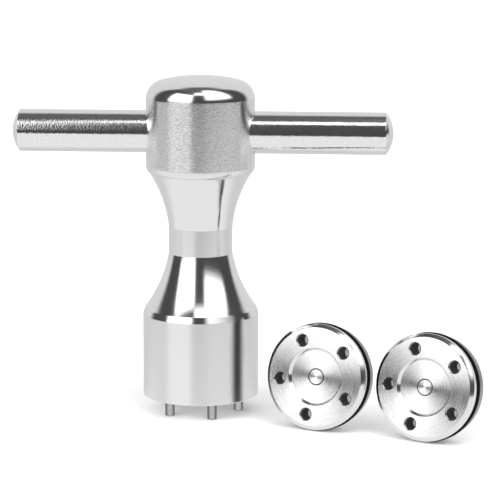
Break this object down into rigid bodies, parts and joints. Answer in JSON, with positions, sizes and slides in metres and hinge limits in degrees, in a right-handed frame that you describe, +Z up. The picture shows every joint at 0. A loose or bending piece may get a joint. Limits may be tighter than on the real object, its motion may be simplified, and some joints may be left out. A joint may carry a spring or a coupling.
{
  "type": "five-pin face spanner with weights",
  "caption": "T-handle face spanner with a ring of drive pins in its foot, and two round face-drilled weights with sealing rings standing beside it.",
  "frame": {"origin": "on the spanner's axis, in the plane of its pin tips, which is the surface that the set stands on", "axes": "+X along the cross bar towards the weights, +Y away from the front, +Z up the spanner's axis"},
  "size_m": [0.0886, 0.0352, 0.0645],
  "materials": {
    "turned_steel": "turned, with satin and polished bands",
    "polished_steel": "polished",
    "pin_steel": "dark hardened, ground",
    "faced_steel": "face-turned, fine rings",
    "seal_rubber": "satin"
  },
  "bodies": {
    "spanner": {"spanner_body": "turned_steel", "cross_bar": "polished_steel", "drive_pin_1": "pin_steel", "drive_pin_2": "pin_steel", "drive_pin_3": "pin_steel", "drive_pin_4": "pin_steel", "drive_pin_5": "pin_steel"},
    "weight_1": {"weight_1_body": "faced_steel", "weight_1_o_ring": "seal_rubber"},
    "weight_2": {"weight_2_body": "faced_steel", "weight_2_o_ring": "seal_rubber"}
  },
  "joints": [
    {"name": "weight_1_lift", "type": "slide", "parent": "spanner", "child": "weight_1", "axis": [0, 0, 1], "range_m": [0, 0.08]},
    {"name": "weight_2_lift", "type": "slide", "parent": "spanner", "child": "weight_2", "axis": [0, 0, 1], "range_m": [0, 0.08]}
  ]
}
